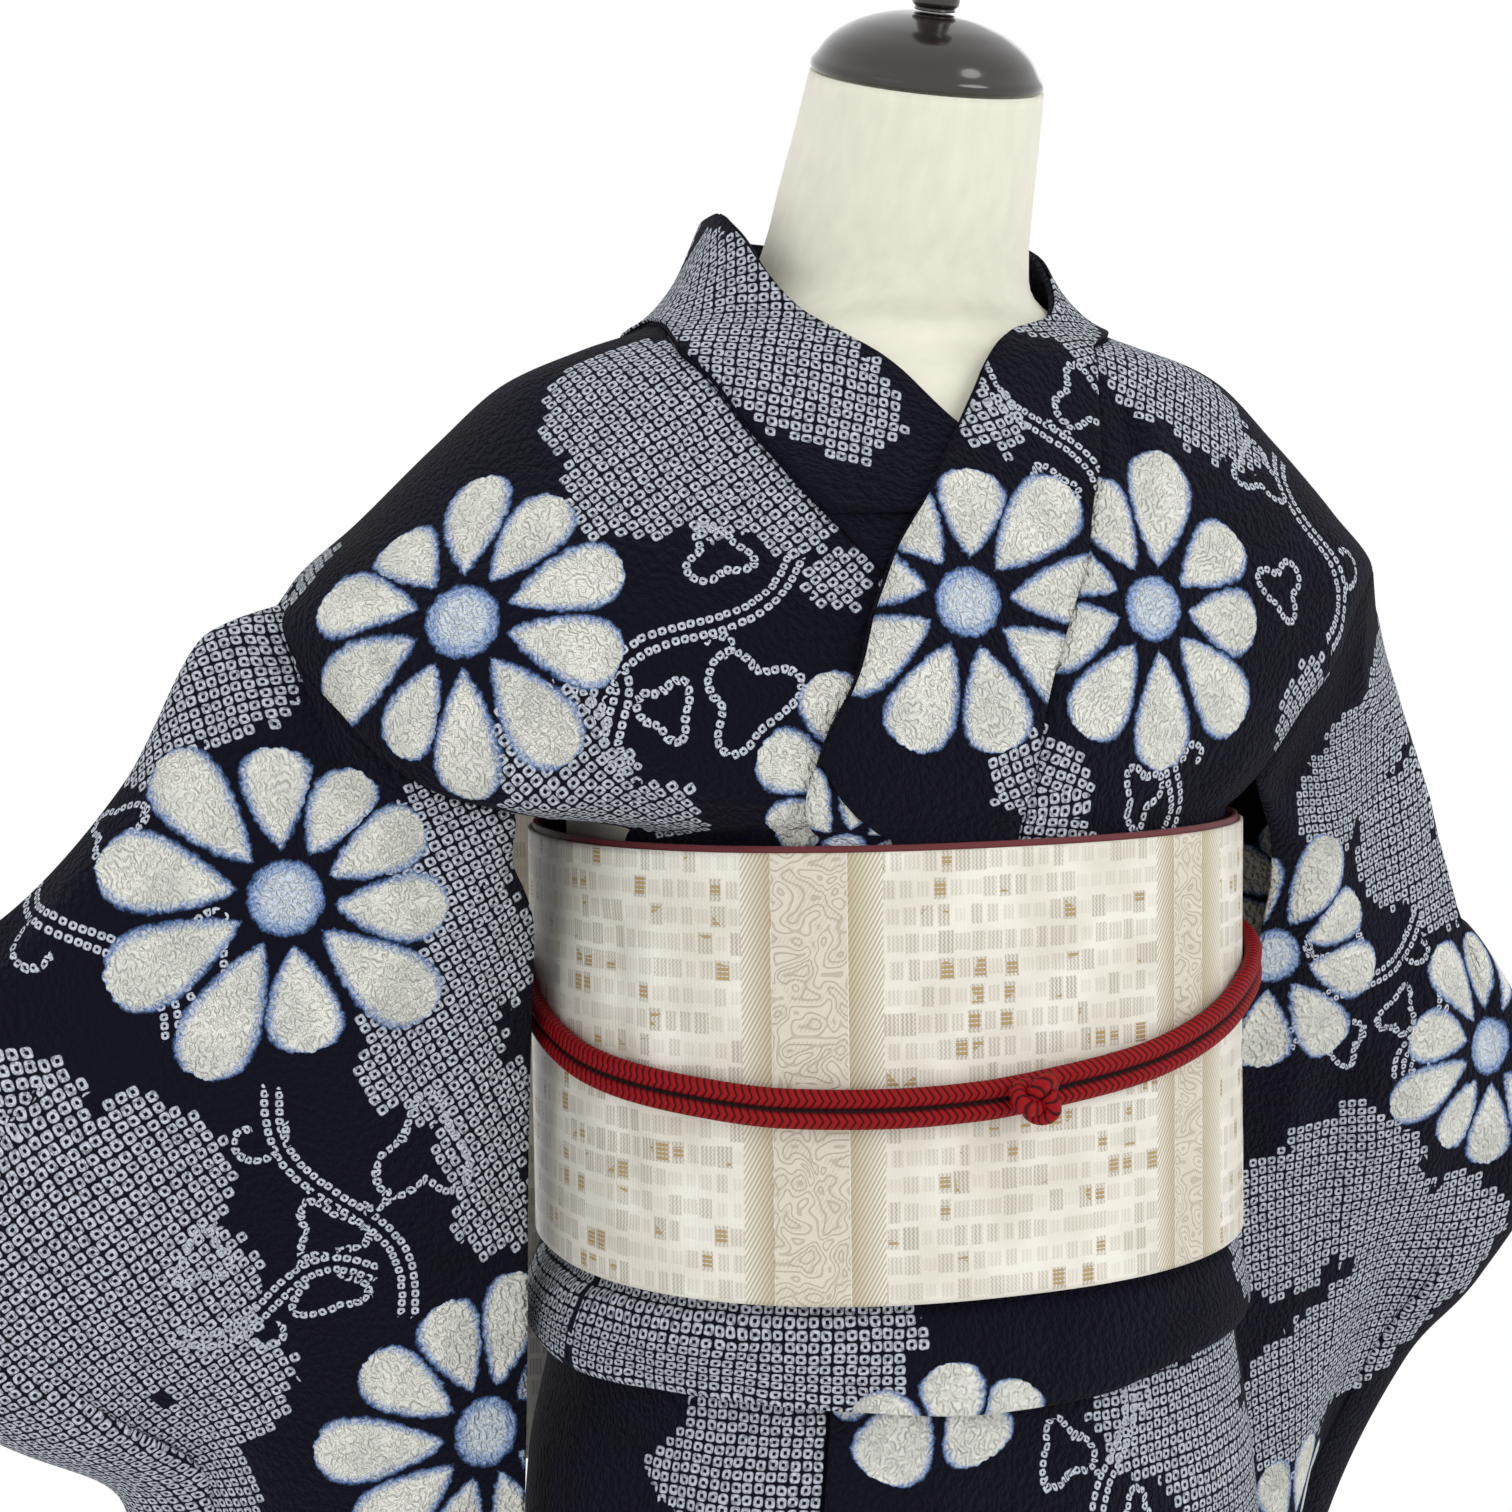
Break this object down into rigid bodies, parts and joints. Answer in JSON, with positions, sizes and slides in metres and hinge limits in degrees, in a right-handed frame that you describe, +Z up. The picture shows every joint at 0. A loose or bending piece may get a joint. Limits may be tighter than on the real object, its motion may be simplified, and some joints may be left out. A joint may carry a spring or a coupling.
{
  "type": "cotton yukata robe on dress form",
  "caption": "Indigo cotton yukata robe with brocade sash and braided cord, worn on a limbless dress form with a pole stand and round base",
  "frame": {"origin": "centre of the underside of the base", "axes": "Z up along the pole, the wearer's front faces -Y, the wearer's left is +X"},
  "size_m": [0.7583, 0.3385, 1.4722],
  "materials": {
    "printed_cotton": "indigo crepe cotton with off-white flowers, tie-dyed squares and vines",
    "ivory_brocade": "woven ivory sash cloth with a low silk sheen",
    "red_lining": "plain dark red lining cloth",
    "red_braid": "round dark red braid",
    "cream_cotton": "smooth cream cotton cover, matte",
    "black_gloss": "turned wood, black gloss lacquer"
  },
  "bodies": {
    "root": {"bodice_left": "printed_cotton", "bodice_right": "printed_cotton", "collar": "printed_cotton", "over_collar": "printed_cotton", "sleeve_left": "printed_cotton", "sleeve_right": "printed_cotton", "skirt_left": "printed_cotton", "skirt_right": "printed_cotton", "okumi_left": "printed_cotton", "okumi_right": "printed_cotton", "ohashori": "printed_cotton", "obi_inner": "red_lining", "obi_outer": "ivory_brocade", "obi_drum": "ivory_brocade", "obi_tail": "ivory_brocade", "obi_strip": "ivory_brocade", "sash_cord": "red_braid", "sash_knot": "red_braid", "form_torso": "cream_cotton", "form_cap": "black_gloss", "form_finial": "black_gloss", "form_pole": "black_gloss", "form_base": "black_gloss"}
  },
  "joints": []
}
